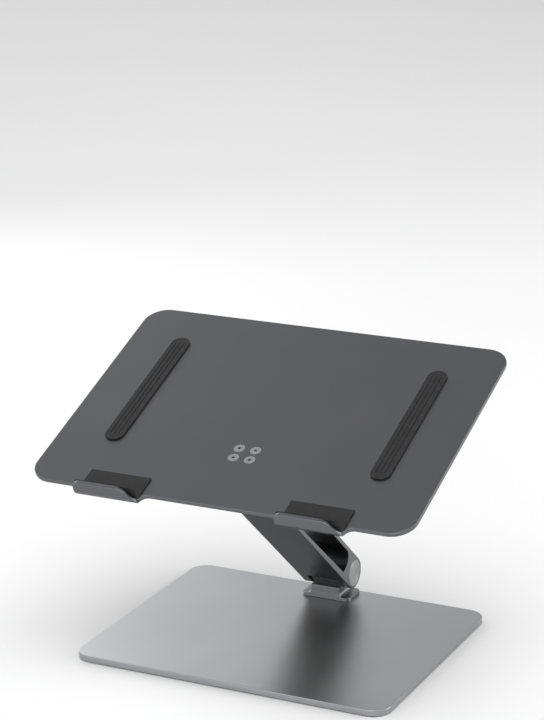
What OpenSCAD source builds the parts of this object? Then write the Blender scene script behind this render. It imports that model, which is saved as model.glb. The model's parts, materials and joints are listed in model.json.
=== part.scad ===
// Folding laptop stand: a weighted base plate, one leaning arm between two
// friction hinges, and a tilting tray with two turned-up lips.
// Units are millimetres. +Z is up, +Y points to the back of the stand, and
// the origin is the centre of the rubber sheet that rests on the desk.

/* [Base] */
// Width of the base plate
base_w = 232.8; // [200:0.2:280]
// Depth of the base plate
base_d = 192.2; // [180:0.2:240]
// Thickness of the base plate
base_t = 4.4; // [4:0.1:8]
// Corner radius of the base plate
base_corner = 13.5; // [6:0.5:25]
// Thickness of the rubber sheet that shows under the base plate
sheet_t = 0.6; // [0.4:0.1:1.5]

/* [Arm] */
// Distance between the two hinge axes
arm_len = 175.5; // [150:0.5:178]
// Width of the arm
arm_w = 37; // [36:0.5:44]
// Half the depth of the arm, which is also the radius of its round ends
arm_r = 11.4; // [11.2:0.1:13]
// Thickness of the arm's back wall
wall_back = 3.2; // [2.6:0.1:4]
// Thickness of the arm's front wall beside the lower hinge
wall_low = 4.6; // [3.6:0.1:5]
// Thickness of the arm's front wall in its upper half
wall_high = 2.9; // [2.6:0.1:3.6]
// Angle of the arm above the desk
arm_elev = 39.2; // [20:0.1:60]

/* [Hinges] */
// Height of each hinge axis over the plate that carries it
hinge_h = 19.1; // [18:0.1:22]
// Distance of the lower hinge axis behind the middle of the base
hinge_y = 81.8; // [60:0.1:84]
// Half the width of the neck between the arm's ears
neck_half = 11.1; // [10:0.1:11.4]
// Thickness of each friction washer
washer_t = 0.7; // [0.5:0.1:0.8]
// Radius of the hinge pins
pin_r = 4; // [3:0.1:4.4]
// Radius of the round caps on the arm's sides
cap_r = 10; // [9.6:0.1:10.4]

/* [Tray] */
// Width of the tray
tray_w = 277.6; // [240:0.2:300]
// Depth of the tray
tray_d = 198; // [180:1:230]
// Thickness of the tray
tray_t = 3; // [2.5:0.1:4]
// Corner radius of the tray
tray_corner = 16.5; // [8:0.5:25]
// Slope of the tray, low at the front
tray_pitch = 21.64; // [5:0.01:30]
// Distance of the upper hinge axis behind the tray's front edge
tray_hinge_y = 54.2; // [40:0.2:70]

/* [Lips] */
// Distance of each lip's middle from the middle of the tray
lip_x = 73.4; // [60:0.1:90]
// Width of each lip
lip_w = 46.2; // [40:0.1:56]
// Height of the lips over the tray's underside
lip_h = 13.2; // [12:0.1:16]
// How far the lips reach in front of the tray's front edge
lip_reach = 9.8; // [9:0.1:12]
// Outer radius of the bend at the foot of each lip
lip_bend = 6.5; // [6:0.1:8]

/* [Hidden] */
$fn = 96;
eps = 0.05;

// Levels and hinge places
base_top = sheet_t + base_t;
lower_z = base_top + hinge_h;
edge_chamfer = 0.5;

// Rubber sheet under the base
sheet_margin = 4;
sheet_groove = 0.8;

// Hinge bracket
foot_w = 37.6;
foot_d = 22.6;
foot_t = 2.8;
foot_corner = 3.8;
neck_h = 9.9;
neck_fillet = 3.2;
knuckle_r = 10.5;
bush_wall = 1;
bush_gap = 0.01;
pin_gap = 0.04;
washer_gap = 0.05;

// Ears at both ends of the arm, measured out from the middle
ear_in = neck_half + washer_t + 2 * washer_gap;
ear_out = arm_w / 2;
cap_t = 1.4;
cap_recess = ear_out - cap_t;
bore_floor = ear_in + 1.7;
bore_r = 8.2;
slot_end = 12;

// Hollow in the arm
hollow_r = arm_r - wall_back;
hollow_start = 26;
taper_from = 22;
taper_to = 110;

// Hinge hardware
head_r = 6.5;
head_t = 2.6;
spring_t = 0.5;
spring_rise = 0.35;
nut_af = 12;
nut_t = 2.2;
thread_r = pin_r - 0.1;

// Screws
screw_r = 2;
screw_head_r = 3.8;
screw_head_t = 1.9;
screw_len = 11;
screw_x = 6;
screw_y = 5;
socket_r = 1.25;

// Lip details
lip_corner_left = 4.5;
lip_sweep_r = 14;
lip_sweep_a = 50;
lip_sweep_low = lip_h - lip_sweep_r * (1 - cos(lip_sweep_a));
lip_sweep_out = lip_sweep_r * sin(lip_sweep_a);
lip_sweep = lip_sweep_out + (lip_sweep_low - tray_t) / tan(lip_sweep_a);
lip_fillet = 5.5;
liner_t = 1;
liner_back = 16;
liner_drop = 0.5;
liner_margin = 0.6;

// Pads on the tray
pad_w = 14;
pad_d = 118;
pad_t = 1.3;
pad_x = 98;
pad_y = 48;
pad_groove = 0.6;

// ---- Placing -------------------------------------------------------------

// The arm's frame: Y runs from the lower axis to the upper one, Z to the front
module in_arm() {
    translate([0, hinge_y, lower_z])
        rotate([180 - arm_elev, 0, 0])
            children();
}

// The lower hinge, level with the desk, its origin on the hinge axis
module at_lower_hinge() {
    translate([0, hinge_y, lower_z])
        children();
}

// The tray's frame: Y runs back from its front edge, Z up from its underside
module in_tray() {
    in_arm()
        translate([0, arm_len, 0])
            rotate([tray_pitch - (180 - arm_elev), 0, 0])
                translate([0, -tray_hinge_y, hinge_h])
                    children();
}

// The upper hinge, upside down under the tray, its origin on the hinge axis
module at_upper_hinge() {
    in_tray()
        translate([0, tray_hinge_y, -hinge_h])
            rotate([180, 0, 0])
                children();
}

// A round bar or hole along X, from one X to another
module bar_x(r, x_from, x_to) {
    translate([x_from, 0, 0])
        rotate([0, 90, 0])
            cylinder(r = r, h = x_to - x_from);
}

// A flat outline in Y and Z, extruded along X about the middle
module slab_x(width) {
    rotate([90, 0, 90])
        linear_extrude(width, center = true)
            children();
}

// ---- Plates --------------------------------------------------------------

module chamfered_disc(r, t, c) {
    cylinder(r1 = r - c, r2 = r, h = c);
    translate([0, 0, c])
        cylinder(r = r, h = t - 2 * c);
    translate([0, 0, t - c])
        cylinder(r1 = r, r2 = r - c, h = c);
}

module chamfered_section(w, t, c) {
    polygon([
        [-w / 2 + c, 0], [w / 2 - c, 0], [w / 2, c], [w / 2, t - c],
        [w / 2 - c, t], [-w / 2 + c, t], [-w / 2, t - c], [-w / 2, c]
    ]);
}

// A plate with round corners and chamfered edges, its underside at Z = 0
module plate(w, d, t, r, c) {
    slab_x(w - 2 * r)
        chamfered_section(d, t, c);
    rotate([90, 0, 0])
        linear_extrude(d - 2 * r, center = true)
            chamfered_section(w, t, c);
    for (sx = [-1, 1], sy = [-1, 1])
        translate([sx * (w / 2 - r), sy * (d / 2 - r), 0])
            chamfered_disc(r, t, c);
}

module round_rect(w, d, r) {
    square([w - 2 * r, d], center = true);
    square([w, d - 2 * r], center = true);
    for (sx = [-1, 1], sy = [-1, 1])
        translate([sx * (w / 2 - r), sy * (d / 2 - r)])
            circle(r);
}

// ---- Screws --------------------------------------------------------------

module each_screw() {
    for (sx = [-1, 1], sy = [-1, 1])
        translate([sx * screw_x, sy * screw_y, 0])
            children();
}

// A countersunk screw, head face at Z = 0, shank towards -Z
module screw() {
    difference() {
        union() {
            translate([0, 0, -screw_head_t])
                cylinder(r1 = screw_r, r2 = screw_head_r, h = screw_head_t);
            translate([0, 0, -screw_len])
                cylinder(r = screw_r, h = screw_len - screw_head_t + eps);
        }
        translate([0, 0, -screw_head_t + 0.3])
            cylinder(r = socket_r, h = screw_head_t, $fn = 6);
    }
}

module screw_hole() {
    translate([0, 0, -screw_head_t])
        cylinder(r1 = screw_r, r2 = screw_head_r, h = screw_head_t);
    translate([0, 0, -screw_len])
        cylinder(r = screw_r, h = screw_len);
    cylinder(r = screw_head_r, h = 1);
}

// Screws that come from below, head face on the base plate's underside
module at_base_screws() {
    translate([0, hinge_y, sheet_t + sheet_groove])
        rotate([180, 0, 0])
            each_screw()
                children();
}

// Screws that come from above, head face on the tray's upper side
module at_tray_screws() {
    in_tray()
        translate([0, tray_hinge_y, tray_t])
            each_screw()
                children();
}

// ---- Base ----------------------------------------------------------------

module base_plate() {
    color("#8f9296")
        difference() {
            translate([0, 0, sheet_t])
                plate(base_w, base_d, base_t, base_corner, edge_chamfer);
            translate([0, 0, sheet_t - 1])
                linear_extrude(1 + sheet_groove)
                    round_rect(
                        base_w - 2 * sheet_margin,
                        base_d - 2 * sheet_margin,
                        base_corner - 3
                    );
            at_base_screws()
                screw_hole();
        }
}

module base_rubber_sheet() {
    color("#1d1e20")
        linear_extrude(sheet_t + sheet_groove)
            round_rect(
                base_w - 2 * sheet_margin - 0.2,
                base_d - 2 * sheet_margin - 0.2,
                base_corner - 3.1
            );
}

module base_screws() {
    color("#5b5d60")
        at_base_screws()
            screw();
}

// ---- Hinge bracket -------------------------------------------------------

// Front outline of the foot and neck, seen along Y, the hinge axis at 0
module bracket_front() {
    translate([-foot_w / 2, -hinge_h])
        square([foot_w, foot_t]);
    translate([-neck_half, -hinge_h])
        square([2 * neck_half, hinge_h + knuckle_r]);
    for (side = [-1, 1])
        difference() {
            translate([side * (neck_half + neck_fillet / 2), foot_t - hinge_h + neck_fillet / 2])
                square(neck_fillet, center = true);
            translate([side * (neck_half + neck_fillet), foot_t - hinge_h + neck_fillet])
                circle(neck_fillet);
        }
}

// Side outline of the block and the round knuckle on it, the hinge axis at 0
module bracket_side() {
    circle(knuckle_r);
    translate([-foot_d / 2, -hinge_h])
        square([foot_d, neck_h]);
}

module bracket_plan() {
    round_rect(foot_w, foot_d, foot_corner);
}

module hinge_bracket() {
    difference() {
        intersection() {
            rotate([90, 0, 0])
                linear_extrude(foot_d, center = true)
                    bracket_front();
            slab_x(foot_w)
                bracket_side();
            translate([0, 0, -hinge_h])
                linear_extrude(hinge_h + knuckle_r)
                    bracket_plan();
        }
        bar_x(pin_r + pin_gap + bush_wall + bush_gap, -neck_half - 1, neck_half + 1);
    }
}

module hinge_bush() {
    difference() {
        bar_x(pin_r + pin_gap + bush_wall, -neck_half, neck_half);
        bar_x(pin_r + pin_gap, -neck_half - 1, neck_half + 1);
    }
}

// ---- Hinge hardware, in the arm's frame with the axis at 0 ---------------

module hinge_pin() {
    bar_x(head_r, -bore_floor - head_t, -bore_floor);
    bar_x(pin_r, -bore_floor - eps, bore_floor);
    bar_x(thread_r, bore_floor - eps, cap_recess - 0.3);
}

module friction_washers() {
    for (side = [-1, 1])
        translate([side * (neck_half + washer_gap + washer_t / 2), 0, 0])
            difference() {
                bar_x(knuckle_r - 0.5, -washer_t / 2, washer_t / 2);
                bar_x(pin_r + pin_gap, -washer_t, washer_t);
            }
}

// One cone-shaped disc spring at x, its wide end at x and its cone towards flip
module disc_spring(x, flip) {
    translate([x, 0, 0])
        rotate([0, 90, 0])
            mirror([0, 0, flip < 0 ? 1 : 0])
                rotate_extrude()
                    polygon([
                        [thread_r + 0.2, spring_rise], [7, 0],
                        [7, spring_t], [thread_r + 0.2, spring_t + spring_rise]
                    ]);
}

module disc_springs() {
    disc_spring(bore_floor, 1);
    disc_spring(bore_floor + 2 * (spring_t + spring_rise), -1);
}

module hinge_nut() {
    nut_x = bore_floor + 2 * (spring_t + spring_rise);
    translate([nut_x, 0, 0])
        rotate([0, 90, 0])
            difference() {
                cylinder(d = nut_af / cos(30), h = cap_recess - nut_x - 0.1, $fn = 6);
                translate([0, 0, -1])
                    cylinder(r = thread_r + 0.02, h = nut_t + 4);
            }
}

// A turned cap with a shallow dish and a fine chamfered rim
module hinge_cap(side) {
    mirror([side < 0 ? 1 : 0, 0, 0])
        translate([cap_recess, 0, 0])
            rotate([0, 90, 0])
                rotate_extrude()
                    polygon([
                        [0, 0], [cap_r, 0], [cap_r, cap_t - 0.25],
                        [cap_r - 0.25, cap_t], [cap_r - 1.2, cap_t],
                        [0, cap_t - 0.45]
                    ]);
}

// ---- Arm -----------------------------------------------------------------

// Side outline of the arm, X along the arm and Y to the front
module arm_outline() {
    circle(arm_r);
    translate([arm_len, 0])
        circle(arm_r);
    translate([0, -arm_r])
        square([arm_len, 2 * arm_r]);
}

// The hollow: a long slot with round ends, cut off by the tapering front wall
module arm_hollow() {
    intersection() {
        union() {
            translate([hollow_start, 0])
                circle(hollow_r + 0.3);
            translate([arm_len - hollow_start, 0])
                circle(hollow_r + 0.3);
            translate([hollow_start, -hollow_r])
                square([arm_len - 2 * hollow_start, 2 * hollow_r + 0.6]);
        }
        polygon([
            [0, -hollow_r], [arm_len, -hollow_r],
            [arm_len, arm_r - wall_high], [taper_to, arm_r - wall_high],
            [taper_from, arm_r - wall_low], [0, arm_r - wall_low]
        ]);
    }
}

module ear_holes() {
    bar_x(pin_r + 0.02, -ear_out - 1, ear_out + 1);
    for (side = [0, 1])
        mirror([side, 0, 0]) {
            bar_x(bore_r, bore_floor, ear_out + 1);
            bar_x(cap_r + 0.05, cap_recess, ear_out + 1);
        }
}

module fork_slot() {
    translate([-ear_in, -arm_r - 5, -arm_r - 5])
        cube([2 * ear_in, arm_r + 5 + slot_end, 2 * arm_r + 10]);
}

module arm_body() {
    color("#84878b")
        in_arm()
            difference() {
                slab_x(arm_w)
                    arm_outline();
                slab_x(arm_w + 2)
                    arm_hollow();
                ear_holes();
                fork_slot();
                translate([0, arm_len, 0]) {
                    ear_holes();
                    mirror([0, 1, 0])
                        fork_slot();
                }
            }
}

// ---- Tray ----------------------------------------------------------------

// The space on the lip's inner side, its outer face moved in by inset
module lip_side(inset, top, back) {
    r = lip_bend - inset;
    translate([lip_bend - lip_reach, lip_bend])
        circle(r);
    translate([lip_bend - lip_reach, inset])
        square([back + lip_reach - lip_bend, top - inset]);
    translate([inset - lip_reach, lip_bend])
        square([r + eps, top - lip_bend]);
}

// A bent strip between two insets, cut off at a height and at its back end
module lip_strip(inset, thick, top, back) {
    difference() {
        lip_side(inset, top, back);
        lip_side(inset + thick, top + 20, back + 20);
    }
}

// Front outline of a lip: a small corner on the left, a long sweep on the right
module lip_front(w) {
    translate([-w / 2, -1])
        square([lip_corner_left + eps, 1 + lip_h - lip_corner_left]);
    translate([lip_corner_left - w / 2, -1])
        square([w - lip_corner_left - lip_sweep, 1 + lip_h]);
    translate([lip_corner_left - w / 2, lip_h - lip_corner_left])
        circle(lip_corner_left);
    translate([w / 2 - lip_sweep, 0]) {
        translate([0, lip_h - lip_sweep_r])
            circle(lip_sweep_r);
        polygon([
            [-eps, -1], [lip_sweep, -1], [lip_sweep, tray_t],
            [lip_sweep_out, lip_sweep_low], [-eps, lip_sweep_low - lip_sweep_out]
        ]);
    }
}

module lip() {
    intersection() {
        slab_x(lip_w)
            lip_strip(0, tray_t, lip_h, 2);
        translate([0, 20, 0])
            rotate([90, 0, 0])
                linear_extrude(60)
                    lip_front(lip_w);
    }
    for (side = [-1, 1])
        translate([side * lip_w / 2, 0, 0])
            linear_extrude(tray_t)
                difference() {
                    translate([0, -lip_fillet / 2 + eps])
                        square([2 * lip_fillet, lip_fillet + eps], center = true);
                    translate([side * lip_fillet, -lip_fillet])
                        circle(lip_fillet);
                    translate([-side * (lip_fillet + 0.5), -lip_fillet])
                        square([2 * lip_fillet, 4 * lip_fillet], center = true);
                }
}

module tray_plate() {
    color("#85888c")
        in_tray()
            difference() {
                union() {
                    translate([0, tray_d / 2, 0])
                        plate(tray_w, tray_d, tray_t, tray_corner, edge_chamfer);
                    for (side = [-1, 1])
                        translate([side * lip_x, 0, 0])
                            lip();
                }
                translate([0, tray_hinge_y, tray_t])
                    each_screw()
                        screw_hole();
                for (side = [-1, 1])
                    translate([side * pad_x, pad_y + pad_d / 2, tray_t - pad_groove])
                        linear_extrude(2)
                            round_rect(pad_w, pad_d, pad_w / 2 - 0.1);
            }
}

module lip_liner(side) {
    color("#17181a")
        in_tray()
            translate([side * lip_x, 0, 0])
                slab_x(lip_w - 2 * liner_margin)
                    lip_strip(tray_t, liner_t, lip_h - liner_drop, liner_back);
}

module tray_pad(side) {
    color("#17181a")
        in_tray()
            translate([side * pad_x, pad_y + pad_d / 2, tray_t - pad_groove])
                linear_extrude(pad_groove + pad_t)
                    round_rect(pad_w - 0.1, pad_d - 0.1, pad_w / 2 - 0.2);
}

module tray_screws() {
    color("#5b5d60")
        at_tray_screws()
            screw();
}

// ---- The two hinges ------------------------------------------------------

module in_hinge(upper) {
    in_arm()
        translate([0, upper ? arm_len : 0, 0])
            children();
}

module lower_hinge_bracket() {
    color("#96999d")
        difference() {
            at_lower_hinge()
                hinge_bracket();
            at_base_screws()
                screw_hole();
        }
}

module upper_hinge_bracket() {
    color("#96999d")
        difference() {
            at_upper_hinge()
                hinge_bracket();
            at_tray_screws()
                screw_hole();
        }
}

module lower_hinge_bush() {
    color("#a8843c")
        at_lower_hinge()
            hinge_bush();
}

module upper_hinge_bush() {
    color("#a8843c")
        at_upper_hinge()
            hinge_bush();
}

base_plate();
base_rubber_sheet();
base_screws();
lower_hinge_bracket();
lower_hinge_bush();
color("#6d7074") in_hinge(false) hinge_pin();  // lower_hinge_pin
color("#4a4c4f") in_hinge(false) friction_washers();  // lower_friction_washers
color("#777a7d") in_hinge(false) disc_springs();  // lower_disc_springs
color("#6d7074") in_hinge(false) hinge_nut();  // lower_hinge_nut
color("#a4a7ab") in_hinge(false) hinge_cap(-1);  // lower_cap_left
color("#a4a7ab") in_hinge(false) hinge_cap(1);  // lower_cap_right
arm_body();
color("#6d7074") in_hinge(true) hinge_pin();  // upper_hinge_pin
color("#4a4c4f") in_hinge(true) friction_washers();  // upper_friction_washers
color("#777a7d") in_hinge(true) disc_springs();  // upper_disc_springs
color("#6d7074") in_hinge(true) hinge_nut();  // upper_hinge_nut
color("#a4a7ab") in_hinge(true) hinge_cap(-1);  // upper_cap_left
color("#a4a7ab") in_hinge(true) hinge_cap(1);  // upper_cap_right
upper_hinge_bracket();
upper_hinge_bush();
tray_screws();
tray_plate();
lip_liner(-1);  // lip_liner_left
lip_liner(1);  // lip_liner_right
tray_pad(-1);  // tray_pad_left
tray_pad(1);  // tray_pad_right
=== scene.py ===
"""Folding laptop stand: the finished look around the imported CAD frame."""
import json
import math

import bmesh
import bpy
from mathutils import Matrix, Vector


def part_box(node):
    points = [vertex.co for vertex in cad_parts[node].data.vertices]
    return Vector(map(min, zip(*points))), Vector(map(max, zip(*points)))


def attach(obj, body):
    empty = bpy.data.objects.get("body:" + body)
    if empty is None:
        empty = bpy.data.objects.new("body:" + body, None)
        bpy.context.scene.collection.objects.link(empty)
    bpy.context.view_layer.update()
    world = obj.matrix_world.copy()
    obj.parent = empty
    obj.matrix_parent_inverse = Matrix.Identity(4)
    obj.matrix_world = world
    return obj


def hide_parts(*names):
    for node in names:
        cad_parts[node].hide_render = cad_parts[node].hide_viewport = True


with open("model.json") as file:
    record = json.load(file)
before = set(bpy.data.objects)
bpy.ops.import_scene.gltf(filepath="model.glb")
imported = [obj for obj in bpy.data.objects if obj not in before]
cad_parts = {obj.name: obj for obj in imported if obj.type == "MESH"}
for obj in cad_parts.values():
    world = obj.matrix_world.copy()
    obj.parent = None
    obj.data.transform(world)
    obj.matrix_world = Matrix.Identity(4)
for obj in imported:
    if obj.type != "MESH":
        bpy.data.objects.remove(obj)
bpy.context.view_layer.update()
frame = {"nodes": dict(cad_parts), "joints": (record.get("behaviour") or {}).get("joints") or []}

MM = 0.001
SCENE = bpy.context.scene

# ---- Sizes, in metres ------------------------------------------------------

# How far a cutting shape runs past the face it cuts
OVERCUT = 1 * MM

BASE_LOW, BASE_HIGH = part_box("base_plate")
SHEET_LOW, SHEET_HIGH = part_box("base_rubber_sheet")
BASE_CORNER, BASE_EDGE = 13.5 * MM, 0.55 * MM
SHEET_CORNER, SHEET_EDGE = 10.4 * MM, 0.15 * MM
SHEET_GAP, SHEET_RECESS = 0.1 * MM, 0.8 * MM
SHEET_RIM, SHEET_SLOT_PITCH = 6 * MM, 14 * MM
SHEET_SLOT_WIDTH, SHEET_SLOT_DEPTH = 1.2 * MM, 0.3 * MM

PIVOTS = {j["name"]: Vector(j["pos_m"]) for j in frame["joints"]}
LOWER_AXIS = PIVOTS["arm_lift"]
UPPER_AXIS = PIVOTS["tray_tilt"]
ARM_VECTOR = UPPER_AXIS - LOWER_AXIS
ARM_LENGTH = ARM_VECTOR.length
ARM_TILT = math.atan2(ARM_VECTOR.z, ARM_VECTOR.y)
ARM_WIDTH = 37.0 * MM
ARM_RADIUS = 11.4 * MM
WALL_BACK = 3.2 * MM
WALL_LOW = 4.6 * MM
WALL_HIGH = 2.9 * MM
HOLLOW_START, HOLLOW_EXTRA = 26.0 * MM, 0.3 * MM
TAPER_END = 110.0 * MM
SLOT_END, SLOT_REACH = 12.0 * MM, 3 * MM
EAR_INNER = 11.9 * MM
POCKET_FLOOR, POCKET_RADIUS = 13.6 * MM, 8.2 * MM
PIN_RADIUS, PIN_GAP = 4.0 * MM, 0.02 * MM
ARM_EDGE = 0.35 * MM

HINGE_HEIGHT = 19.1 * MM
FOOT_WIDTH, FOOT_DEPTH, FOOT_THICK = 37.6 * MM, 22.6 * MM, 2.8 * MM
FOOT_CORNER = 3.8 * MM
NECK_HALF, NECK_HEIGHT, NECK_FILLET = 11.1 * MM, 9.9 * MM, 3.2 * MM
KNUCKLE_RADIUS = 10.5 * MM
BRACKET_BORE, BRACKET_EDGE = 5.05 * MM, 0.4 * MM

CAP_RADIUS, CAP_THICK, CAP_GAP = 10.0 * MM, 1.4 * MM, 0.12 * MM
CAP_EDGE, CAP_RIM, CAP_DISH = 0.3 * MM, 1.1 * MM, 0.4 * MM
RIM_CHAMFER, RIM_STEP, DISH_START = 0.15 * MM, 0.05 * MM, 0.06 * MM
DISH_POWER, DISH_STEPS, CAP_SIDES = 0.8, 12, 128
CAP_SHARP_ANGLE = math.radians(40)

TRAY_WIDTH, TRAY_DEPTH, TRAY_THICK = 277.6 * MM, 198.0 * MM, 3.0 * MM
TRAY_CORNER, TRAY_EDGE = 16.5 * MM, 0.64 * MM
TRAY_PITCH = math.radians(21.64)
TRAY_HINGE_Y = 54.2 * MM
LIP_X, LIP_WIDTH, LIP_HEIGHT = 73.4 * MM, 46.2 * MM, 13.2 * MM
LIP_REACH, LIP_BEND, LIP_FILLET = 9.8 * MM, 6.5 * MM, 5.5 * MM
LIP_CORNER, LIP_SWEEP_RADIUS = 4.5 * MM, 14.0 * MM
LIP_SWEEP_ANGLE = math.radians(50)
LINER_THICK, LINER_BACK, LINER_MARGIN = 1.0 * MM, 16.0 * MM, 0.6 * MM
LINER_TOP = LIP_HEIGHT - 0.5 * MM
LINER_CORNER, LINER_EDGE = 1.6 * MM, 0.3 * MM
PAD_WIDTH, PAD_DEPTH, PAD_RISE, PAD_SUNK = 13.9 * MM, 117.9 * MM, 1.3 * MM, 0.5 * MM
PAD_X, PAD_Y = 98.0 * MM, 107.0 * MM
PAD_END, PAD_EDGE = 6.8 * MM, 0.22 * MM
PAD_GROOVE_WIDTH, PAD_GROOVE_PITCH, PAD_GROOVE_DEPTH = 0.9 * MM, 3.1 * MM, 0.4 * MM
PAD_GROOVE_MARGIN = 12 * MM
SCREW_X, SCREW_Y, SCREW_GAP = 6.0 * MM, 5.0 * MM, 0.08 * MM
SCREW_HEAD_R, SCREW_R, SCREW_HEAD_T = 3.8 * MM, 2.0 * MM, 1.9 * MM

# A groove's end radius stays this much under half its width, so no points meet
ROUND_END_GAP = 1e-5
# Points closer than this are one point
SAME_POINT, SAME_POINT_AFTER_CUT, NEXT_STATION = 1e-7, 2e-6, 0.01 * MM
FLAT_ANGLE, SHARP_ANGLE = math.radians(0.5), math.radians(32)
CORNER_STEPS, TRAY_CORNER_STEPS, LIP_STEPS, FILLET_STEPS = 24, 28, 24, 12

# Where each piece's own frame lies in the stand's frame
ARM_FRAME = Matrix.Translation(LOWER_AXIS) @ Matrix.Rotation(ARM_TILT, 4, "X")
TRAY_FRAME = (
    Matrix.Translation(UPPER_AXIS)
    @ Matrix.Rotation(TRAY_PITCH, 4, "X")
    @ Matrix.Translation((0, -TRAY_HINGE_Y, HINGE_HEIGHT))
)
LOWER_BRACKET_FRAME = Matrix.Translation(LOWER_AXIS)
UPPER_BRACKET_FRAME = (
    Matrix.Translation(UPPER_AXIS)
    @ Matrix.Rotation(TRAY_PITCH, 4, "X")
    @ Matrix.Rotation(math.pi, 4, "X")
)

# ---- Mesh helpers ----------------------------------------------------------


def arc(cx, cy, radius, start, end, steps):
    """Points along an arc, both ends included, angles in degrees."""
    angles = [math.radians(start + (end - start) * i / steps) for i in range(steps + 1)]
    return [(cx + radius * math.cos(a), cy + radius * math.sin(a)) for a in angles]


def circle(cx, cy, radius, steps=90):
    """Points once round a circle."""
    return arc(cx, cy, radius, 0, 360 - 360 / steps, steps - 1)


def moved(outline, x, y=0.0):
    return [(x + a, y + b) for a, b in outline]


def rounded_rectangle(width, depth, radius, steps=CORNER_STEPS):
    """The outline of a rectangle with round corners, centred, anticlockwise."""
    x, y = width / 2 - radius, depth / 2 - radius
    outline = []
    for cx, cy, start in ((x, -y, -90), (x, y, 0), (-x, y, 90), (-x, -y, 180)):
        outline += arc(cx, cy, radius, start, start + 90, steps)
    return outline


def new_object(name, mesh):
    obj = bpy.data.objects.new(name, mesh)
    SCENE.collection.objects.link(obj)
    return obj


def from_bmesh(name, bm):
    bmesh.ops.recalc_face_normals(bm, faces=bm.faces)
    mesh = bpy.data.meshes.new(name)
    bm.to_mesh(mesh)
    bm.free()
    return new_object(name, mesh)


def prism(name, outline, low, high, place):
    """An outline extruded from low to high; place turns (a, b, height) into a point."""
    bm = bmesh.new()
    rings = [[bm.verts.new(place(a, b, h)) for a, b in outline] for h in (low, high)]
    bm.faces.new(rings[0][::-1])
    bm.faces.new(rings[1])
    for i in range(len(outline)):
        j = (i + 1) % len(outline)
        bm.faces.new((rings[0][i], rings[0][j], rings[1][j], rings[1][i]))
    bmesh.ops.remove_doubles(bm, verts=bm.verts, dist=SAME_POINT)
    return from_bmesh(name, bm)


def along_x(a, b, h):
    return Vector((h, a, b))


def along_y(a, b, h):
    return Vector((a, h, b))


def along_z(a, b, h):
    return Vector((a, b, h))


def apply_modifiers(obj):
    """Puts the result of the modifiers into the object's own mesh."""
    graph = bpy.context.evaluated_depsgraph_get()
    mesh = bpy.data.meshes.new_from_object(obj.evaluated_get(graph))
    obj.modifiers.clear()
    obj.data = mesh


def combine(obj, tool, operation):
    """A boolean with a tool object, which is then removed."""
    modifier = obj.modifiers.new("combine", "BOOLEAN")
    modifier.object = tool
    modifier.operation = operation
    modifier.solver = "EXACT"
    apply_modifiers(obj)
    bpy.data.objects.remove(tool)


def tidy_flats(obj):
    """Joins the coplanar faces that booleans leave, so that bevels run clean."""
    bm = bmesh.new()
    bm.from_mesh(obj.data)
    bmesh.ops.remove_doubles(bm, verts=bm.verts, dist=SAME_POINT_AFTER_CUT)
    bmesh.ops.dissolve_limit(bm, angle_limit=FLAT_ANGLE, verts=bm.verts, edges=bm.edges)
    bm.to_mesh(obj.data)
    bm.free()


def bevel_edges(obj, width, segments=3):
    """Rounds every sharp edge."""
    bevel = obj.modifiers.new("edges", "BEVEL")
    bevel.width = width
    bevel.segments = segments
    bevel.limit_method = "ANGLE"
    bevel.angle_limit = SHARP_ANGLE
    bevel.miter_outer = "MITER_ARC"
    bevel.use_clamp_overlap = False
    apply_modifiers(obj)


def shade_smooth(obj):
    obj.data.polygons.foreach_set("use_smooth", [True] * len(obj.data.polygons))


def smooth_faces(obj):
    """Shades the roundings smooth and keeps the large flats flat."""
    shade_smooth(obj)
    weighted = obj.modifiers.new("normals", "WEIGHTED_NORMAL")
    weighted.mode = "FACE_AREA"
    weighted.weight = 50
    weighted.keep_sharp = True
    apply_modifiers(obj)


def round_edges(obj, width, segments=3):
    bevel_edges(obj, width, segments)
    smooth_faces(obj)


def finish_piece(obj, matrix, body, node, material):
    """Places a piece, makes it ride on its body and stand for its CAD node."""
    obj.data.transform(matrix)
    obj.data.materials.clear()
    obj.data.materials.append(material)
    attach(obj, body)
    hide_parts(node)
    return obj


# ---- Material helpers ------------------------------------------------------

# Sockets of a colour mix by number, since their names repeat for each data type
MIX_FACTOR, MIX_LOW, MIX_HIGH, MIX_RESULT = 0, 6, 7, 2
# The range of dot product between rounded and plain normal that counts as an edge
EDGE_FULL, EDGE_NONE, EDGE_SAMPLES = 0.80, 0.995, 6
# The part of a noise's range that is used
NOISE_LOW, NOISE_HIGH = 0.3, 0.7
# How far the painted highlight on exposed edges lifts a colour
EDGE_HIGHLIGHT_LIFT = 0.05
RING_PITCH = 0.32 * MM


def tinted(colour, gain, lift=0.0):
    return tuple(min(1.0, c * gain + lift) for c in colour)


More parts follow.
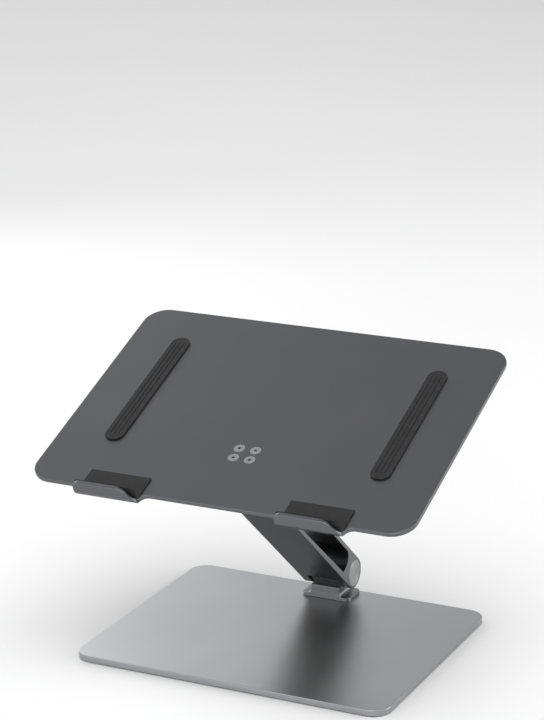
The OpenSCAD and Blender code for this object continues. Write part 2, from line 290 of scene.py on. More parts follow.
class Shader:
    """A material's node tree, with short calls for the nodes used here."""

    def __init__(self, name):
        self.material = bpy.data.materials.new(name)
        self.material.use_nodes = True
        self.tree = self.material.node_tree
        self.tree.nodes.clear()
        self.surface = self.node("ShaderNodeBsdfPrincipled")
        output = self.node("ShaderNodeOutputMaterial")
        self.link(self.surface, "BSDF", output, "Surface")
        self.place = self.node("ShaderNodeTexCoord")

    def node(self, kind, **settings):
        made = self.tree.nodes.new(kind)
        for key, value in settings.items():
            setattr(made, key, value)
        return made

    def link(self, source, output, target, socket):
        self.tree.links.new(source.outputs[output], target.inputs[socket])

    def noise(self, scale, detail=2.0, stretch=(1, 1, 1), roughness=0.5):
        """Noise over the object's own coordinates, with its scale per metre."""
        mapping = self.node("ShaderNodeMapping")
        mapping.inputs["Scale"].default_value = stretch
        self.link(self.place, "Object", mapping, "Vector")
        noise = self.node("ShaderNodeTexNoise")
        noise.inputs["Scale"].default_value = scale
        noise.inputs["Detail"].default_value = detail
        noise.inputs["Roughness"].default_value = roughness
        self.link(mapping, "Vector", noise, "Vector")
        return noise

    def spread(self, source, output, low, high, from_low=NOISE_LOW, from_high=NOISE_HIGH):
        """Maps a value to the range low to high."""
        remap = self.node("ShaderNodeMapRange")
        remap.inputs["From Min"].default_value = from_low
        remap.inputs["From Max"].default_value = from_high
        remap.inputs["To Min"].default_value = low
        remap.inputs["To Max"].default_value = high
        self.link(source, output, remap, "Value")
        return remap

    def math(self, operation, first, second):
        """Combines two (node, output) pairs, or a pair and a number."""
        made = self.node("ShaderNodeMath", operation=operation)
        for index, value in enumerate((first, second)):
            if isinstance(value, tuple):
                self.link(value[0], value[1], made, index)
            else:
                made.inputs[index].default_value = value
        return made

    def edge_mask(self, radius, strength):
        """1 on exposed edges and 0 on flats, from how a rounded normal differs."""
        bevel = self.node("ShaderNodeBevel", samples=EDGE_SAMPLES)
        bevel.inputs["Radius"].default_value = radius
        geometry = self.node("ShaderNodeNewGeometry")
        dot = self.node("ShaderNodeVectorMath", operation="DOT_PRODUCT")
        self.link(bevel, "Normal", dot, 0)
        self.link(geometry, "Normal", dot, 1)
        return self.spread(dot, "Value", strength, 0.0, EDGE_FULL, EDGE_NONE)

    def blend_colours(self, mask, output, low, high):
        mix = self.node("ShaderNodeMix", data_type="RGBA")
        mix.inputs[MIX_LOW].default_value = (*low, 1)
        mix.inputs[MIX_HIGH].default_value = (*high, 1)
        self.link(mask, output, mix, MIX_FACTOR)
        return mix

    def colour_from(self, mix):
        self.link(mix, MIX_RESULT, self.surface, "Base Color")

    def edge_highlight_colour_from(self, mix, highlight_colour, radius, strength):
        """The colour of a mix, going over to a paler one on exposed edges: a painted edge
        highlight.
        """
        highlighted_mix = self.node("ShaderNodeMix", data_type="RGBA")
        highlighted_mix.inputs[MIX_HIGH].default_value = (*highlight_colour, 1)
        self.link(mix, MIX_RESULT, highlighted_mix, MIX_LOW)
        self.link(self.edge_mask(radius, strength), "Result", highlighted_mix, MIX_FACTOR)
        self.colour_from(highlighted_mix)

    def bump(self, source, output, height, strength=1.0, below=None):
        """Bump of a height in metres, on top of another bump if one is given."""
        bump = self.node("ShaderNodeBump")
        bump.inputs["Strength"].default_value = strength
        bump.inputs["Distance"].default_value = height
        self.link(source, output, bump, "Height")
        if below is not None:
            self.link(below, "Normal", bump, "Normal")
        return bump

    def vector_math(self, operation, source, output, value=None):
        """An operation on a vector, with a constant second vector if it needs one."""
        made = self.node("ShaderNodeVectorMath", operation=operation)
        self.link(source, output, made, 0)
        if value is not None:
            made.inputs[1].default_value = value
        return made

    def tangent(self, source, output):
        """The direction along which the gloss is spread."""
        length = self.vector_math("NORMALIZE", source, output)
        self.link(length, "Vector", self.surface, "Tangent")

    def set(self, **values):
        for key, value in values.items():
            self.surface.inputs[key.replace("_", " ")].default_value = value


def anodised(name, colour, roughness):
    """Bead-blasted, anodised aluminium: fine sparkle, soft clouds, and paler edges that are a
    painted highlight.
    """
    shader = Shader(name)
    clouds = shader.noise(scale=9.0, detail=3.0)
    mask = shader.spread(clouds, "Fac", 0.0, 1.0)
    base = shader.blend_colours(mask, "Result", tinted(colour, 0.97), tinted(colour, 1.03))
    highlight_colour = tinted(colour, 1.7, EDGE_HIGHLIGHT_LIFT)
    shader.edge_highlight_colour_from(base, highlight_colour, radius=0.7 * MM, strength=0.55)
    beads = shader.noise(scale=2600.0, roughness=0.6)
    smears = shader.noise(scale=38.0, detail=4.0, stretch=(1, 0.45, 1))
    fine = shader.spread(beads, "Fac", -0.035, 0.035)
    wide = shader.spread(smears, "Fac", roughness - 0.012, roughness + 0.016)
    total = shader.math("ADD", (fine, "Result"), (wide, "Result"))
    shader.link(total, "Value", shader.surface, "Roughness")
    pits = shader.bump(beads, "Fac", height=0.02 * MM, strength=0.35)
    shader.link(pits, "Normal", shader.surface, "Normal")
    shader.set(Metallic=1.0)
    return shader.material


def brushed(name, colour, roughness):
    """Aluminium brushed along X before it was anodised."""
    shader = Shader(name)
    lines = shader.noise(scale=1.0, detail=3.0, stretch=(60, 5200, 5200), roughness=0.65)
    broad = shader.noise(scale=1.0, stretch=(14, 900, 900))
    streak = shader.math("ADD", (lines, "Fac"), (broad, "Fac"))
    mask = shader.spread(streak, "Value", 0.0, 1.0, from_low=0.7, from_high=1.3)
    base = shader.blend_colours(mask, "Result", tinted(colour, 0.82), tinted(colour, 1.14))
    # Paler exposed edges: a painted highlight along the edges
    highlight_colour = tinted(colour, 1.6, EDGE_HIGHLIGHT_LIFT)
    shader.edge_highlight_colour_from(base, highlight_colour, radius=0.6 * MM, strength=0.6)
    rough = shader.spread(lines, "Fac", roughness - 0.06, roughness + 0.08)
    shader.link(rough, "Result", shader.surface, "Roughness")
    scratches = shader.bump(lines, "Fac", height=0.03 * MM, strength=0.5)
    shader.link(scratches, "Normal", shader.surface, "Normal")
    geometry = shader.node("ShaderNodeNewGeometry")
    across = shader.vector_math("CROSS_PRODUCT", geometry, "Normal", (1, 0, 0))
    shader.tangent(across, "Vector")
    shader.set(Metallic=1.0, Anisotropic=0.8)
    return shader.material


def turned(name, colour, centre, roughness):
    """A lathe-turned face: fine rings about an axis along X, with swept glints."""
    shader = Shader(name)
    offset = shader.vector_math("SUBTRACT", shader.place, "Object", centre)
    flat = shader.vector_math("MULTIPLY", offset, "Vector", (0, 1, 1))
    distance = shader.vector_math("LENGTH", flat, "Vector")
    turn = shader.node("ShaderNodeVectorTransform", vector_type="VECTOR")
    turn.convert_from, turn.convert_to = "OBJECT", "WORLD"
    shader.link(flat, "Vector", turn, 0)
    shader.tangent(turn, "Vector")
    rings = shader.math("MULTIPLY", (distance, "Value"), 2 * math.pi / RING_PITCH)
    wave = shader.math("SINE", (rings, "Value"), 0.0)
    band = shader.node("ShaderNodeTexNoise", noise_dimensions="1D")
    band.inputs["Scale"].default_value = 1400.0
    band.inputs["Detail"].default_value = 3.0
    shader.link(distance, "Value", band, "W")
    mask = shader.spread(band, "Fac", 0.0, 1.0)
    base = shader.blend_colours(mask, "Result", tinted(colour, 0.85), tinted(colour, 1.15))
    shader.colour_from(base)
    rough = shader.spread(band, "Fac", roughness - 0.05, roughness + 0.06)
    shader.link(rough, "Result", shader.surface, "Roughness")
    groove = shader.bump(wave, "Value", height=0.004 * MM, strength=0.5)
    cut = shader.bump(band, "Fac", height=0.012 * MM, strength=0.5, below=groove)
    shader.link(cut, "Normal", shader.surface, "Normal")
    shader.set(Metallic=1.0, Anisotropic=0.95)
    return shader.material


def silicone(name, colour):
    """Matt moulded silicone with a fine stipple and a little dust."""
    shader = Shader(name)
    dust = shader.noise(scale=160.0, detail=4.0, roughness=0.65)
    mask = shader.spread(dust, "Fac", 0.0, 1.0, from_low=0.45, from_high=0.85)
    shader.colour_from(
        shader.blend_colours(mask, "Result", colour, tinted(colour, 1.9, 0.004))
    )
    stipple = shader.noise(scale=3400.0)
    rough = shader.spread(dust, "Fac", 0.52, 0.68)
    shader.link(rough, "Result", shader.surface, "Roughness")
    grain = shader.bump(stipple, "Fac", height=0.03 * MM, strength=0.5)
    shader.link(grain, "Normal", shader.surface, "Normal")
    shader.set(Sheen_Weight=0.03, Sheen_Roughness=0.5, IOR=1.36)
    return shader.material


def plated(name, colour, roughness):
    """Plated or bare machined metal for the hardware, with tool marks and a painted highlight on
    exposed edges.
    """
    shader = Shader(name)
    blotch = shader.noise(scale=420.0, detail=3.0)
    mask = shader.spread(blotch, "Fac", 0.0, 1.0)
    base = shader.blend_colours(mask, "Result", tinted(colour, 0.8), tinted(colour, 1.12))
    highlight_colour = tinted(colour, 1.4, EDGE_HIGHLIGHT_LIFT)
    shader.edge_highlight_colour_from(base, highlight_colour, radius=0.3 * MM, strength=0.5)
    marks = shader.noise(scale=1.0, stretch=(7000, 900, 900))
    rough = shader.spread(marks, "Fac", roughness - 0.06, roughness + 0.06)
    shader.link(rough, "Result", shader.surface, "Roughness")
    tooling = shader.bump(marks, "Fac", height=0.01 * MM, strength=0.4)
    shader.link(tooling, "Normal", shader.surface, "Normal")
    shader.set(Metallic=1.0)
    return shader.material


# The arm and tray greys are the base's anodised grey darkened: painted shade for their faces
# that sit in shade
BASE_GREY, ARM_GREY_PAINTED_SHADE = (0.36, 0.363, 0.371), (0.15, 0.152, 0.157)
TRAY_GREY_PAINTED_SHADE, BRACKET_GREY = (0.14, 0.142, 0.147), (0.25, 0.253, 0.26)
CAP_GREY, SILICONE_BLACK = (0.34, 0.343, 0.35), (0.009, 0.009, 0.010)
ZINC, OILED_BRONZE = (0.42, 0.42, 0.43), (0.52, 0.36, 0.16)

BASE_METAL = anodised("base_anodised", BASE_GREY, roughness=0.35)
# The arm and tray materials carry painted shade: darker copies of the base's anodised grey
ARM_METAL = anodised("arm_anodised_painted_shade", ARM_GREY_PAINTED_SHADE, roughness=0.32)
TRAY_METAL = anodised("tray_anodised_painted_shade", TRAY_GREY_PAINTED_SHADE, roughness=0.35)
BRACKET_METAL = brushed("bracket_brushed", BRACKET_GREY, roughness=0.36)
LOWER_CAP_METAL = turned("lower_cap_turned", CAP_GREY, LOWER_AXIS, roughness=0.24)
UPPER_CAP_METAL = turned("upper_cap_turned", CAP_GREY, UPPER_AXIS, roughness=0.24)
SILICONE = silicone("silicone_black", SILICONE_BLACK)
STEEL = plated("steel_zinc", ZINC, roughness=0.34)
BRONZE = plated("bronze_oiled", OILED_BRONZE, roughness=0.4)

# ---- Base ------------------------------------------------------------------


def make_base_plate():
    size = BASE_HIGH - BASE_LOW
    outline = rounded_rectangle(size.x, size.y, BASE_CORNER, 32)
    plate = prism("base_plate_finished", outline, BASE_LOW.z, BASE_HIGH.z, along_z)
    sheet = SHEET_HIGH - SHEET_LOW
    recess = rounded_rectangle(
        sheet.x + 2 * SHEET_GAP, sheet.y + 2 * SHEET_GAP, SHEET_CORNER + SHEET_GAP
    )
    tool = prism("recess", recess, -OVERCUT, BASE_LOW.z + SHEET_RECESS, along_z)
    combine(plate, tool, "DIFFERENCE")
    tidy_flats(plate)
    round_edges(plate, BASE_EDGE)
    identity = Matrix.Identity(4)
    finish_piece(plate, identity, "base", "base_plate", BASE_METAL)


def make_rubber_sheet():
    """The anti-slip sheet, with a raised rim and rows of shallow cross grooves."""
    size = SHEET_HIGH - SHEET_LOW
    outline = rounded_rectangle(size.x, size.y, SHEET_CORNER)
    sheet = prism("base_sheet_finished", outline, SHEET_LOW.z, SHEET_HIGH.z, along_z)
    length, end = size.y - 2 * SHEET_RIM, SHEET_SLOT_WIDTH / 2 - ROUND_END_GAP
    slot = rounded_rectangle(SHEET_SLOT_WIDTH, length, end, steps=4)
    count = int((size.x - 2 * SHEET_RIM) / SHEET_SLOT_PITCH)
    for i in range(count + 1):
        place = moved(slot, (i - count / 2) * SHEET_SLOT_PITCH)
        tool = prism("slot", place, -OVERCUT, SHEET_LOW.z + SHEET_SLOT_DEPTH, along_z)
        combine(sheet, tool, "DIFFERENCE")
    tidy_flats(sheet)
    round_edges(sheet, SHEET_EDGE, segments=2)
    identity = Matrix.Identity(4)
    finish_piece(sheet, identity, "base", "base_rubber_sheet", SILICONE)


# ---- Hinge brackets --------------------------------------------------------


def bracket_front_outline():
    """Foot, concave fillets and neck seen along Y, with the hinge axis at 0."""
    foot_top = FOOT_THICK - HINGE_HEIGHT
    half = FOOT_WIDTH / 2
    centre_x, centre_z = NECK_HALF + NECK_FILLET, foot_top + NECK_FILLET
    right = arc(centre_x, centre_z, NECK_FILLET, 270, 180, 20)
    left = [(-x, z) for x, z in reversed(right)]
    top = KNUCKLE_RADIUS + OVERCUT
    return (
        [(-half, -HINGE_HEIGHT), (half, -HINGE_HEIGHT), (half, foot_top)]
        + right
        + [(NECK_HALF, top), (-NECK_HALF, top)]
        + left
        + [(-half, foot_top)]
    )


def bracket_side_outline():
    """The block and the round knuckle on it seen along X, with the hinge axis at 0."""
    foot, top = FOOT_DEPTH / 2, NECK_HEIGHT - HINGE_HEIGHT
    meet = math.degrees(math.asin(top / KNUCKLE_RADIUS))
    return (
        [(-foot, -HINGE_HEIGHT), (foot, -HINGE_HEIGHT), (foot, top)]
        + arc(0, 0, KNUCKLE_RADIUS, meet, 180 - meet, 90)
        + [(-foot, top)]
    )


def make_bracket(name, node, body, matrix):
    """The shape that its front, side and plan outlines share, bored for the bush."""
    front = bracket_front_outline()
    bracket = prism(name, front, -FOOT_DEPTH / 2, FOOT_DEPTH / 2, along_y)
    side = prism("side", bracket_side_outline(), -FOOT_WIDTH, FOOT_WIDTH, along_x)
    combine(bracket, side, "INTERSECT")
    plan = rounded_rectangle(FOOT_WIDTH, FOOT_DEPTH, FOOT_CORNER)
    tool = prism("plan", plan, -HINGE_HEIGHT - OVERCUT, 2 * KNUCKLE_RADIUS, along_z)
    combine(bracket, tool, "INTERSECT")
    reach = 15 * MM
    bore = prism("bore", circle(0, 0, BRACKET_BORE), -reach, reach, along_x)
    combine(bracket, bore, "DIFFERENCE")
    tidy_flats(bracket)
    round_edges(bracket, BRACKET_EDGE)
    finish_piece(bracket, matrix, body, node, BRACKET_METAL)


# ---- Arm -------------------------------------------------------------------


def arm_outline():
    """The long outline with round ends, in the arm's Y and Z."""
    return arc(0, 0, ARM_RADIUS, 90, 270, 72) + arc(
        ARM_LENGTH, 0, ARM_RADIUS, -90, 90, 72
    )


def hollow_outline():
    """The slot in the arm: round ends, cut off by the tapering front wall."""
    radius = ARM_RADIUS - WALL_BACK + HOLLOW_EXTRA
    floor = WALL_BACK - ARM_RADIUS
    far = ARM_LENGTH - HOLLOW_START
    ceiling_low, ceiling_high = ARM_RADIUS - WALL_LOW, ARM_RADIUS - WALL_HIGH

    def angle_at(height):
        return math.degrees(math.asin(max(-1, min(1, height / radius))))

    near_end = arc(
        HOLLOW_START, 0, radius, 180 - angle_at(ceiling_low), 180 - angle_at(floor), 40
    )
    far_end = arc(far, 0, radius, angle_at(floor), angle_at(ceiling_high), 40)
    return near_end + far_end + [(TAPER_END, ceiling_high)]


def cut_slot(arm, centre, sign):
    """Opens one end of the arm between its two ears."""
    reach = ARM_RADIUS + SLOT_REACH
    low, high = sorted((centre - sign * SLOT_END, centre + sign * reach))
    box = [(low, -reach), (high, -reach), (high, reach), (low, reach)]
    combine(arm, prism("slot", box, -EAR_INNER, EAR_INNER, along_x), "DIFFERENCE")


def cut_ear(arm, centre, side):
    """Cuts the cap's seat, the pocket behind it and the pin's hole into one ear."""
    face = ARM_WIDTH / 2
    bores = (
        (CAP_RADIUS + CAP_GAP, face - CAP_THICK),
        (POCKET_RADIUS, POCKET_FLOOR),
        (PIN_RADIUS + PIN_GAP, EAR_INNER - OVERCUT),
    )
    for radius, floor in bores:
        ends = sorted((side * floor, side * (face + OVERCUT)))
        bore = prism("bore", circle(centre, 0, radius), *ends, along_x)
        combine(arm, bore, "DIFFERENCE")


def make_arm():
    half = ARM_WIDTH / 2
    arm = prism("arm_finished", arm_outline(), -half, half, along_x)
    reach = half + OVERCUT
    combine(arm, prism("hollow", hollow_outline(), -reach, reach, along_x), "DIFFERENCE")
    for centre, sign in ((0.0, -1), (ARM_LENGTH, 1)):
        cut_slot(arm, centre, sign)
        for side in (-1, 1):
            cut_ear(arm, centre, side)
    tidy_flats(arm)
    round_edges(arm, ARM_EDGE)
    finish_piece(arm, ARM_FRAME, "arm", "arm_body", ARM_METAL)


def cap_profile():
    """Distances out along X and from the axis: back, edge, raised rim, dished face."""
    outer, inner = ARM_WIDTH / 2, ARM_WIDTH / 2 - CAP_THICK
    rim = CAP_RADIUS - CAP_RIM
    profile = [(inner, 0.0), (inner, CAP_RADIUS)]
    profile += arc(outer - CAP_EDGE, CAP_RADIUS - CAP_EDGE, CAP_EDGE, 90, 0, 6)
    profile += [(outer, rim + RIM_CHAMFER), (outer - RIM_STEP, rim)]
    for i in range(1, DISH_STEPS + 1):
        t = i / DISH_STEPS
        depth = DISH_START + CAP_DISH * math.sin(t * math.pi / 2) ** DISH_POWER
        profile.append((outer - depth, rim * (1 - t)))
    return profile


def cap_ring(bm, side, centre_y, x, radius):
    """One ring of the cap's points, or its single point on the axis."""
    if radius == 0:
        return [bm.verts.new((side * x, centre_y, 0))]
    angles = [2 * math.pi * i / CAP_SIDES for i in range(CAP_SIDES)]
    return [
        bm.verts.new(
            (side * x, centre_y + radius * math.cos(a), radius * math.sin(a))
        )
        for a in angles
    ]


def make_cap(name, node, side, centre_y, material):
    """A lathe-turned cap: dished face, raised rim and a fine rounded edge."""
    bm = bmesh.new()
    rings = [cap_ring(bm, side, centre_y, x, radius) for x, radius in cap_profile()]
    for low, high in zip(rings, rings[1:]):
        for i in range(CAP_SIDES):
            j = (i + 1) % CAP_SIDES
            corners = [low[i % len(low)], low[j % len(low)]]
            corners += [high[j % len(high)], high[i % len(high)]]
            bm.faces.new(list(dict.fromkeys(corners)))
    cap = from_bmesh(name, bm)
    shade_smooth(cap)
    cap.data.set_sharp_from_angle(angle=CAP_SHARP_ANGLE)
    finish_piece(cap, ARM_FRAME, "arm", node, material)


# ---- Tray ------------------------------------------------------------------


def lip_section(inset, thick, run):
    """One station of the bent strip: its outer and inner point, for a distance
    run forward from the tray's front edge, measured along the outer face."""
    flat = LIP_REACH - LIP_BEND
    outer_r, inner_r = LIP_BEND - inset, LIP_BEND - inset - thick
    turn = outer_r * math.pi / 2
    if run <= flat:
        return (-run, inset), (-run, inset + thick)
    if run <= flat + turn:
        a = (run - flat) / outer_r
        s, c = math.sin(a), math.cos(a)
        outer = (-flat - outer_r * s, LIP_BEND - outer_r * c)
        inner = (-flat - inner_r * s, LIP_BEND - inner_r * c)
        return outer, inner
    z = LIP_BEND + run - flat - turn
    return (inset - LIP_REACH, z), (inset + thick - LIP_REACH, z)


def round_corner(top, radius):
    """A lip's round corner: how far it cuts in at a height, and where to sample it."""

    def cut(z):
        rise = min(max(z - top + radius, 0.0), radius)
        return radius - math.sqrt(max(radius**2 - rise**2, 0.0))

    steps = [math.pi / 2 * i / LIP_STEPS for i in range(LIP_STEPS + 1)]
    return cut, [top - radius + radius * math.sin(a) for a in steps]


def swept_corner(top):
    """A lip's long sweep: straight up from the tray's top face, then round."""
    radius, angle = LIP_SWEEP_RADIUS, LIP_SWEEP_ANGLE
    low = top - radius * (1 - math.cos(angle))
    straight = (low - TRAY_THICK) / math.tan(angle)
    total = straight + radius * math.sin(angle)

    def cut(z):
        if z <= low:
            return max(z - TRAY_THICK, 0.0) / math.tan(angle)
        rise = min(z - top + radius, radius)
        return total - math.sqrt(max(radius**2 - rise**2, 0.0))

    steps = [angle * i / LIP_STEPS for i in range(LIP_STEPS + 1)]
    return cut, [top - radius + radius * math.cos(a) for a in steps]


def lip_runs(inset, top, corners, extra):
    """The stations along the strip: dense on the bend and in the corners."""
    flat, outer_r = LIP_REACH - LIP_BEND, LIP_BEND - inset
    turn = outer_r * math.pi / 2
    runs = set(extra) | {0.0, flat}
    runs |= {flat + turn * i / LIP_STEPS for i in range(LIP_STEPS + 1)}
    length = flat + turn + top - LIP_BEND
    for _, heights in corners:
        runs |= {flat + turn + z - LIP_BEND for z in heights if z > LIP_BEND}
    kept = []
    for run in sorted(runs):
        if not kept or run - kept[-1] > NEXT_STATION:
            kept.append(run)
    kept[-1] = length
    return kept


def bent_rows(bm, inset, thick, half, top, corners, fillet, middle):
    """Rows of four corner points, outer left, outer right, inner right, inner left."""
    count = FILLET_STEPS + 1 if fillet else 0
    steps = [math.pi / 2 * i / FILLET_STEPS for i in range(count)]
    extra = [fillet * (1 - math.cos(a)) for a in steps]
    rows = []
    for run in lip_runs(inset, top, corners, extra):
        flare = 0.0
        if run < fillet:
            flare = fillet - math.sqrt(fillet**2 - (fillet - run) ** 2)
        row = []
        for (y, z), sides in zip(lip_section(inset, thick, run), ((-1, 1), (1, -1))):
            for side in sides:
                cut = corners[0 if side < 0 else 1][0](z)
                x = middle + side * (half + flare - cut)
                row.append(bm.verts.new((x, y, z)))
        rows.append(row)
    return rows


def skin_rows(bm, rows, close_start, close_end):
    """Faces between the rows, and over the first and last one if asked for."""
    for low, high in zip(rows, rows[1:]):
        for i in range(4):
            j = (i + 1) % 4
            bm.faces.new((low[i], low[j], high[j], high[i]))
    if close_start:
        bm.faces.new(rows[0][::-1])
    if close_end:
        bm.faces.new(rows[-1])


def make_lip(bm, side):
    """Adds one bent lip and returns its four points on the plate's front edge."""
    corners = (round_corner(LIP_HEIGHT, LIP_CORNER), swept_corner(LIP_HEIGHT))
    half = LIP_WIDTH / 2
    rows = bent_rows(
        bm, 0.0, TRAY_THICK, half, LIP_HEIGHT, corners, LIP_FILLET, side * LIP_X
    )
    skin_rows(bm, rows, False, True)
    return rows[0]


def add_corner(bm, low, high, x, y, start):
    """Adds a round corner to the plate's lower and upper outline."""
    for a, b in arc(x, y, TRAY_CORNER, start, start + 90, TRAY_CORNER_STEPS):
        low.append(bm.verts.new((a, b, 0)))
        high.append(bm.verts.new((a, b, TRAY_THICK)))


def add_plate(bm, lips):
    """The flat plate, with its front edge left open where the lips go on."""
    x, front, back = TRAY_WIDTH / 2 - TRAY_CORNER, TRAY_CORNER, TRAY_DEPTH - TRAY_CORNER
    low, high, open_edges = [], [], set()
    add_corner(bm, low, high, -x, front, 180)
    for first in lips:
        open_edges.add(len(low))
        low.extend((first[0], first[1]))
        high.extend((first[3], first[2]))
    for corner in ((x, front, -90), (x, back, 0), (-x, back, 90)):
        add_corner(bm, low, high, *corner)
    bm.faces.new(low[::-1])
    bm.faces.new(high)
    for i in range(len(low)):
        j = (i + 1) % len(low)
        if i not in open_edges:
            bm.faces.new((low[i], low[j], high[j], high[i]))


def make_tray():
    """One sheet: a plate with round corners and two bent lips on its front edge."""
    bm = bmesh.new()
    add_plate(bm, [make_lip(bm, side) for side in (-1, 1)])
    bmesh.ops.remove_doubles(bm, verts=bm.verts, dist=SAME_POINT)
    tray = from_bmesh("tray_finished", bm)
    tidy_flats(tray)
    bevel_edges(tray, TRAY_EDGE)
    for x in (-SCREW_X, SCREW_X):
        for y in (TRAY_HINGE_Y - SCREW_Y, TRAY_HINGE_Y + SCREW_Y):
            combine(tray, screw_cutter(x, y), "DIFFERENCE")
    smooth_faces(tray)
    finish_piece(tray, TRAY_FRAME, "tray", "tray_plate", TRAY_METAL)


def screw_cutter(x, y):
    """The countersunk hole of one tray screw."""
    bm = bmesh.new()
    shank, head = SCREW_R + SCREW_GAP, SCREW_HEAD_R + SCREW_GAP
    levels = (
        (shank, -2 * OVERCUT),
        (shank, TRAY_THICK - SCREW_HEAD_T),
        (head, TRAY_THICK),
        (head, TRAY_THICK + OVERCUT),
    )
    steps = 48
    rings = []
    for radius, z in levels:
        angles = [2 * math.pi * i / steps for i in range(steps)]
        rings.append(
            [
                bm.verts.new((x + radius * math.cos(a), y + radius * math.sin(a), z))
                for a in angles
            ]
        )
    for below, above in zip(rings, rings[1:]):
        for i in range(steps):
            j = (i + 1) % steps
            bm.faces.new((below[i], below[j], above[j], above[i]))
    bm.faces.new(rings[0][::-1])
    bm.faces.new(rings[-1])
    return from_bmesh("screw_hole", bm)


def make_liner(side, node):
    """The moulded lining inside a lip, which also runs a little way under the laptop."""
    bm = bmesh.new()
    half = LIP_WIDTH / 2 - LINER_MARGIN
    corners = [round_corner(LINER_TOP, LINER_CORNER)] * 2
    rows = bent_rows(
        bm, TRAY_THICK, LINER_THICK, half, LINER_TOP, corners, 0, side * LIP_X
    )
    back = [bm.verts.new(vertex.co + Vector((0, LINER_BACK, 0))) for vertex in rows[0]]
    skin_rows(bm, [back] + rows, True, True)
    liner = from_bmesh(f"{node}_finished", bm)
    round_edges(liner, LINER_EDGE)
    finish_piece(liner, TRAY_FRAME, "tray", node, SILICONE)


def make_pad(side, node):
    """A moulded strip with round ends and three long grooves."""
    low, high = TRAY_THICK - PAD_SUNK, TRAY_THICK + PAD_RISE
    outline = rounded_rectangle(PAD_WIDTH, PAD_DEPTH, PAD_END)
    place = moved(outline, side * PAD_X, PAD_Y)
    pad = prism(f"{node}_finished", place, low, high, along_z)
    length, end = PAD_DEPTH - PAD_GROOVE_MARGIN, PAD_GROOVE_WIDTH / 2 - ROUND_END_GAP
    groove = rounded_rectangle(PAD_GROOVE_WIDTH, length, end, steps=6)
    for i in (-1, 0, 1):
        place = moved(groove, side * PAD_X + i * PAD_GROOVE_PITCH, PAD_Y)
        tool = prism("groove", place, high - PAD_GROOVE_DEPTH, high + OVERCUT, along_z)
        combine(pad, tool, "DIFFERENCE")
    tidy_flats(pad)
    round_edges(pad, PAD_EDGE)
    finish_piece(pad, TRAY_FRAME, "tray", node, SILICONE)


# ---- CAD nodes that keep their shape ---------------------------------------


def paint_hardware():
    """Gives each hinge part and screw that stays from CAD its own finish."""
    finishes = {
        "hinge_bush": BRONZE,
        "friction_washers": BRONZE,
        "hinge_pin": STEEL,
        "disc_springs": STEEL,
        "hinge_nut": STEEL,
    }
    kept = {"base_screws": STEEL, "tray_screws": STEEL}
    for level in ("lower", "upper"):
        kept.update({f"{level}_{part}": metal for part, metal in finishes.items()})
    for name, metal in kept.items():
        node = frame["nodes"][name]
        node.data.materials.clear()
        node.data.materials.append(metal)


# ---- Studio ----------------------------------------------------------------

CAMERA_AZIMUTH = math.radians(25.36)
CAMERA_ELEVATION = math.radians(16.09)
CAMERA_DISTANCE = 1.6588
CAMERA_TARGET = Vector((-0.0093, 0.0, 0.2031))
CAMERA_LENS, CAMERA_SENSOR, CAMERA_FAR = 121.6, 36.0, 50.0
FLOOR_HALF = 12.0
FLOOR_DARK, FLOOR_LIGHT = (0.80, 0.80, 0.80), (0.83, 0.83, 0.83)
# The sky's brighter side, how wide its edge is, its two brightnesses, and the
# heights between which it dims to a share of itself
SKY_SIDE = (-0.90, -0.43, 0.0)
SKY_EDGE = 0.16
SKY_DARK, SKY_BRIGHT = 0.66, 1.6
SKY_LOW, SKY_HIGH, SKY_TOP = 0.35, 0.8, 0.4
# Each soft box: name, place, what it points at, width, height and watts
SOFT_BOXES = (
    ("right_box", (1.7, 0.9, 0.8), (0, 0, 0.1), 1.2, 1.2, 15),
    ("top_box", (0.8, -1.1, 3.6), (0, 0, 0.1), 3.6, 3.0, 84),
    ("left_box", (-0.95, 0.75, 0.55), (-0.05, 0, 0), 0.6, 0.6, 1.5),
)


def make_camera():
    data = bpy.data.cameras.new("camera")
    data.lens = CAMERA_LENS
    data.sensor_fit = "AUTO"
    data.sensor_width = CAMERA_SENSOR
    data.clip_end = CAMERA_FAR
    camera = new_object("camera", data)
    flat, rise = math.cos(CAMERA_ELEVATION), math.sin(CAMERA_ELEVATION)
    x, y = math.sin(CAMERA_AZIMUTH) * flat, -math.cos(CAMERA_AZIMUTH) * flat
    camera.location = CAMERA_TARGET + Vector((x, y, rise)) * CAMERA_DISTANCE
    camera.rotation_euler = (math.pi / 2 - CAMERA_ELEVATION, 0, CAMERA_AZIMUTH)
    SCENE.camera = camera


def floor_material():
    shader = Shader("studio_floor")
    clouds = shader.noise(scale=1.3)
    mask = shader.spread(clouds, "Fac", 0.0, 1.0)
    shader.colour_from(shader.blend_colours(mask, "Result", FLOOR_DARK, FLOOR_LIGHT))
    shader.set(Roughness=0.65)
    return shader.material


def make_floor():
    bm = bmesh.new()
    signs = ((-1, -1), (1, -1), (1, 1), (-1, 1))
    bm.faces.new([bm.verts.new((x * FLOOR_HALF, y * FLOOR_HALF, 0)) for x, y in signs])
    floor = from_bmesh("floor", bm)
    floor.data.materials.append(floor_material())


def soft_box(name, location, target, width, height, watts):
    data = bpy.data.lights.new(name, "AREA")
    data.shape = "RECTANGLE"
    data.size = width
    data.size_y = height
    data.energy = watts
    light = new_object(name, data)
    light.location = location
    direction = Vector(target) - Vector(location)
    light.rotation_euler = direction.to_track_quat("-Z", "Y").to_euler()


def smooth_ramp(tree, from_low, from_high, low, high):
    """Maps one range to another with a soft start and end."""
    ramp = tree.nodes.new("ShaderNodeMapRange")
    ramp.interpolation_type = "SMOOTHSTEP"
    ramp.inputs["From Min"].default_value = from_low
    ramp.inputs["From Max"].default_value = from_high
    ramp.inputs["To Min"].default_value = low
    ramp.inputs["To Max"].default_value = high
    return ramp


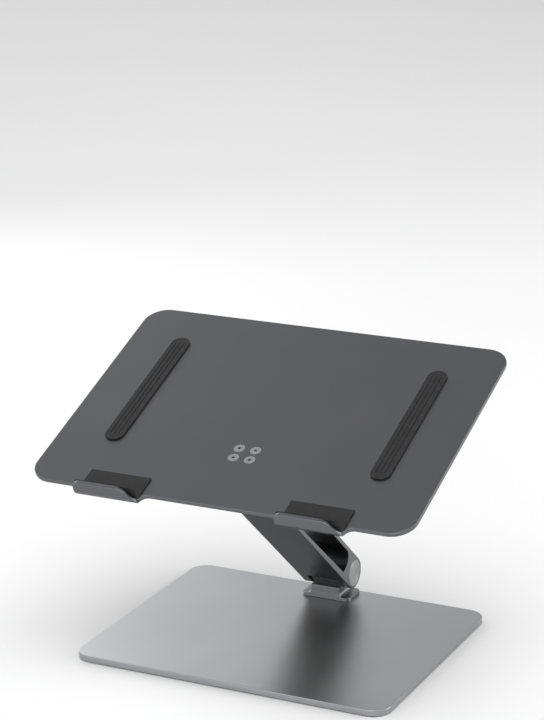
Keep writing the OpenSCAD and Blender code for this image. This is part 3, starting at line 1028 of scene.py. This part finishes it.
def make_sky():
    """A white surround, brighter towards SKY_SIDE and dimmer overhead."""
    world = bpy.data.worlds.new("studio")
    world.use_nodes = True
    tree = world.node_tree
    background = tree.nodes["Background"]
    background.inputs["Color"].default_value = (1, 1, 1, 1)
    place = tree.nodes.new("ShaderNodeTexCoord")
    side = tree.nodes.new("ShaderNodeVectorMath")
    side.operation = "DOT_PRODUCT"
    side.inputs[1].default_value = SKY_SIDE
    ramp = smooth_ramp(tree, -SKY_EDGE, SKY_EDGE, SKY_DARK, SKY_BRIGHT)
    height = tree.nodes.new("ShaderNodeSeparateXYZ")
    dim = smooth_ramp(tree, SKY_LOW, SKY_HIGH, 1.0, SKY_TOP)
    product = tree.nodes.new("ShaderNodeMath")
    product.operation = "MULTIPLY"
    tree.links.new(place.outputs["Generated"], side.inputs[0])
    tree.links.new(place.outputs["Generated"], height.inputs[0])
    tree.links.new(side.outputs["Value"], ramp.inputs["Value"])
    tree.links.new(height.outputs["Z"], dim.inputs["Value"])
    tree.links.new(ramp.outputs["Result"], product.inputs[0])
    tree.links.new(dim.outputs["Result"], product.inputs[1])
    tree.links.new(product.outputs["Value"], background.inputs["Strength"])
    SCENE.world = world


def make_studio():
    make_floor()
    make_sky()
    SCENE.view_settings.view_transform = "Standard"
    for box in SOFT_BOXES:
        soft_box(*box)


# ---- Building --------------------------------------------------------------

make_camera()
make_studio()
make_base_plate()
make_rubber_sheet()
make_bracket("lower_bracket_finished", "lower_hinge_bracket", "base", LOWER_BRACKET_FRAME)
make_bracket("upper_bracket_finished", "upper_hinge_bracket", "tray", UPPER_BRACKET_FRAME)
make_arm()
for hinge, height, metal in (
    ("lower", 0.0, LOWER_CAP_METAL),
    ("upper", ARM_LENGTH, UPPER_CAP_METAL),
):
    make_cap(f"{hinge}_cap_left_finished", f"{hinge}_cap_left", -1, height, metal)
    make_cap(f"{hinge}_cap_right_finished", f"{hinge}_cap_right", 1, height, metal)
make_tray()
make_liner(-1, "lip_liner_left")
make_liner(1, "lip_liner_right")
make_pad(-1, "tray_pad_left")
make_pad(1, "tray_pad_right")
paint_hardware()
